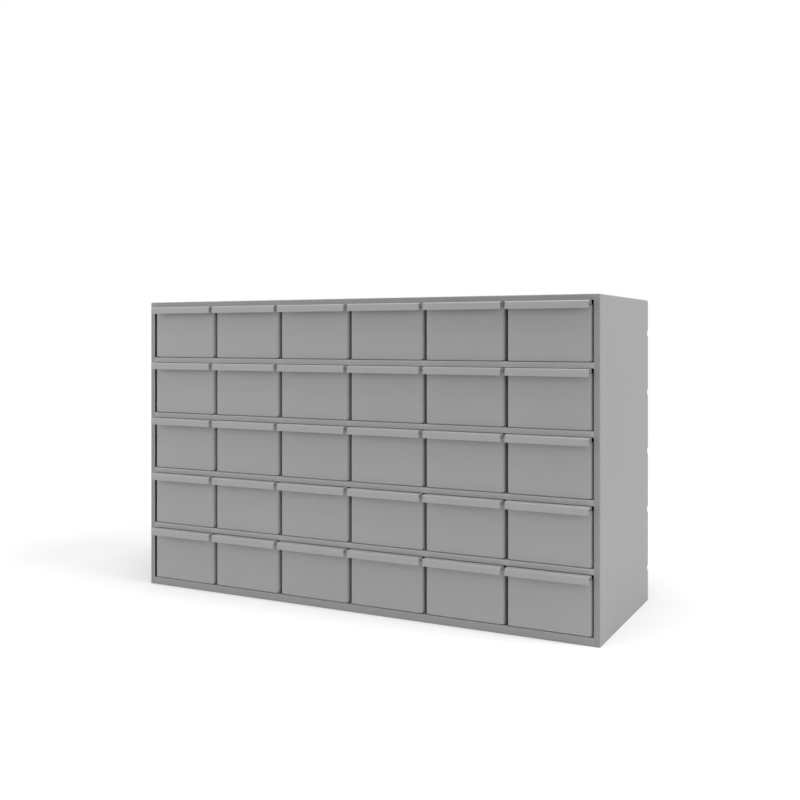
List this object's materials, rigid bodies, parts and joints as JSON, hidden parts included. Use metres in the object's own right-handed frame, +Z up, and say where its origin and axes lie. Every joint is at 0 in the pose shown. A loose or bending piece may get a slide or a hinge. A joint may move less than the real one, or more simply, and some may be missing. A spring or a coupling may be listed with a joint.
{
  "type": "parts bin cabinet",
  "caption": "Grey sheet-steel cabinet with rows of equal sliding drawers, each with a full-width hooded pull, for sorting small parts.",
  "frame": {"origin": "on the ground, under the middle of the cabinet's whole box with its pulls", "axes": "+X to the right seen from the front, +Y to the rear, +Z up"},
  "size_m": [0.8572, 0.3192, 0.5255],
  "materials": {
    "case_paint": "satin grey powder coat",
    "drawer_paint": "satin grey powder coat"
  },
  "bodies": {
    "case": {"case_shell": "case_paint", "base_panel": "case_paint", "back_panel": "case_paint", "shelf_1": "case_paint", "shelf_2": "case_paint", "shelf_3": "case_paint", "shelf_4": "case_paint", "left_guide": "case_paint", "right_guide": "case_paint", "divider_1": "case_paint", "divider_2": "case_paint", "divider_3": "case_paint", "divider_4": "case_paint", "divider_5": "case_paint"},
    "drawer_r1_c1": {"drawer_r1_c1": "drawer_paint"},
    "drawer_r1_c2": {"drawer_r1_c2": "drawer_paint"},
    "drawer_r1_c3": {"drawer_r1_c3": "drawer_paint"},
    "drawer_r1_c4": {"drawer_r1_c4": "drawer_paint"},
    "drawer_r1_c5": {"drawer_r1_c5": "drawer_paint"},
    "drawer_r1_c6": {"drawer_r1_c6": "drawer_paint"},
    "drawer_r2_c1": {"drawer_r2_c1": "drawer_paint"},
    "drawer_r2_c2": {"drawer_r2_c2": "drawer_paint"},
    "drawer_r2_c3": {"drawer_r2_c3": "drawer_paint"},
    "drawer_r2_c4": {"drawer_r2_c4": "drawer_paint"},
    "drawer_r2_c5": {"drawer_r2_c5": "drawer_paint"},
    "drawer_r2_c6": {"drawer_r2_c6": "drawer_paint"},
    "drawer_r3_c1": {"drawer_r3_c1": "drawer_paint"},
    "drawer_r3_c2": {"drawer_r3_c2": "drawer_paint"},
    "drawer_r3_c3": {"drawer_r3_c3": "drawer_paint"},
    "drawer_r3_c4": {"drawer_r3_c4": "drawer_paint"},
    "drawer_r3_c5": {"drawer_r3_c5": "drawer_paint"},
    "drawer_r3_c6": {"drawer_r3_c6": "drawer_paint"},
    "drawer_r4_c1": {"drawer_r4_c1": "drawer_paint"},
    "drawer_r4_c2": {"drawer_r4_c2": "drawer_paint"},
    "drawer_r4_c3": {"drawer_r4_c3": "drawer_paint"},
    "drawer_r4_c4": {"drawer_r4_c4": "drawer_paint"},
    "drawer_r4_c5": {"drawer_r4_c5": "drawer_paint"},
    "drawer_r4_c6": {"drawer_r4_c6": "drawer_paint"},
    "drawer_r5_c1": {"drawer_r5_c1": "drawer_paint"},
    "drawer_r5_c2": {"drawer_r5_c2": "drawer_paint"},
    "drawer_r5_c3": {"drawer_r5_c3": "drawer_paint"},
    "drawer_r5_c4": {"drawer_r5_c4": "drawer_paint"},
    "drawer_r5_c5": {"drawer_r5_c5": "drawer_paint"},
    "drawer_r5_c6": {"drawer_r5_c6": "drawer_paint"}
  },
  "joints": [
    {"name": "drawer_r1_c1_slide", "type": "slide", "parent": "case", "child": "drawer_r1_c1", "axis": [0, -1, 0], "range_m": [0, 0.245]},
    {"name": "drawer_r1_c2_slide", "type": "slide", "parent": "case", "child": "drawer_r1_c2", "axis": [0, -1, 0], "range_m": [0, 0.245]},
    {"name": "drawer_r1_c3_slide", "type": "slide", "parent": "case", "child": "drawer_r1_c3", "axis": [0, -1, 0], "range_m": [0, 0.245]},
    {"name": "drawer_r1_c4_slide", "type": "slide", "parent": "case", "child": "drawer_r1_c4", "axis": [0, -1, 0], "range_m": [0, 0.245]},
    {"name": "drawer_r1_c5_slide", "type": "slide", "parent": "case", "child": "drawer_r1_c5", "axis": [0, -1, 0], "range_m": [0, 0.245]},
    {"name": "drawer_r1_c6_slide", "type": "slide", "parent": "case", "child": "drawer_r1_c6", "axis": [0, -1, 0], "range_m": [0, 0.245]},
    {"name": "drawer_r2_c1_slide", "type": "slide", "parent": "case", "child": "drawer_r2_c1", "axis": [0, -1, 0], "range_m": [0, 0.245]},
    {"name": "drawer_r2_c2_slide", "type": "slide", "parent": "case", "child": "drawer_r2_c2", "axis": [0, -1, 0], "range_m": [0, 0.245]},
    {"name": "drawer_r2_c3_slide", "type": "slide", "parent": "case", "child": "drawer_r2_c3", "axis": [0, -1, 0], "range_m": [0, 0.245]},
    {"name": "drawer_r2_c4_slide", "type": "slide", "parent": "case", "child": "drawer_r2_c4", "axis": [0, -1, 0], "range_m": [0, 0.245]},
    {"name": "drawer_r2_c5_slide", "type": "slide", "parent": "case", "child": "drawer_r2_c5", "axis": [0, -1, 0], "range_m": [0, 0.245]},
    {"name": "drawer_r2_c6_slide", "type": "slide", "parent": "case", "child": "drawer_r2_c6", "axis": [0, -1, 0], "range_m": [0, 0.245]},
    {"name": "drawer_r3_c1_slide", "type": "slide", "parent": "case", "child": "drawer_r3_c1", "axis": [0, -1, 0], "range_m": [0, 0.245]},
    {"name": "drawer_r3_c2_slide", "type": "slide", "parent": "case", "child": "drawer_r3_c2", "axis": [0, -1, 0], "range_m": [0, 0.245]},
    {"name": "drawer_r3_c3_slide", "type": "slide", "parent": "case", "child": "drawer_r3_c3", "axis": [0, -1, 0], "range_m": [0, 0.245]},
    {"name": "drawer_r3_c4_slide", "type": "slide", "parent": "case", "child": "drawer_r3_c4", "axis": [0, -1, 0], "range_m": [0, 0.245]},
    {"name": "drawer_r3_c5_slide", "type": "slide", "parent": "case", "child": "drawer_r3_c5", "axis": [0, -1, 0], "range_m": [0, 0.245]},
    {"name": "drawer_r3_c6_slide", "type": "slide", "parent": "case", "child": "drawer_r3_c6", "axis": [0, -1, 0], "range_m": [0, 0.245]},
    {"name": "drawer_r4_c1_slide", "type": "slide", "parent": "case", "child": "drawer_r4_c1", "axis": [0, -1, 0], "range_m": [0, 0.245]},
    {"name": "drawer_r4_c2_slide", "type": "slide", "parent": "case", "child": "drawer_r4_c2", "axis": [0, -1, 0], "range_m": [0, 0.245]},
    {"name": "drawer_r4_c3_slide", "type": "slide", "parent": "case", "child": "drawer_r4_c3", "axis": [0, -1, 0], "range_m": [0, 0.245]},
    {"name": "drawer_r4_c4_slide", "type": "slide", "parent": "case", "child": "drawer_r4_c4", "axis": [0, -1, 0], "range_m": [0, 0.245]},
    {"name": "drawer_r4_c5_slide", "type": "slide", "parent": "case", "child": "drawer_r4_c5", "axis": [0, -1, 0], "range_m": [0, 0.245]},
    {"name": "drawer_r4_c6_slide", "type": "slide", "parent": "case", "child": "drawer_r4_c6", "axis": [0, -1, 0], "range_m": [0, 0.245]},
    {"name": "drawer_r5_c1_slide", "type": "slide", "parent": "case", "child": "drawer_r5_c1", "axis": [0, -1, 0], "range_m": [0, 0.245]},
    {"name": "drawer_r5_c2_slide", "type": "slide", "parent": "case", "child": "drawer_r5_c2", "axis": [0, -1, 0], "range_m": [0, 0.245]},
    {"name": "drawer_r5_c3_slide", "type": "slide", "parent": "case", "child": "drawer_r5_c3", "axis": [0, -1, 0], "range_m": [0, 0.245]},
    {"name": "drawer_r5_c4_slide", "type": "slide", "parent": "case", "child": "drawer_r5_c4", "axis": [0, -1, 0], "range_m": [0, 0.245]},
    {"name": "drawer_r5_c5_slide", "type": "slide", "parent": "case", "child": "drawer_r5_c5", "axis": [0, -1, 0], "range_m": [0, 0.245]},
    {"name": "drawer_r5_c6_slide", "type": "slide", "parent": "case", "child": "drawer_r5_c6", "axis": [0, -1, 0], "range_m": [0, 0.245]}
  ]
}
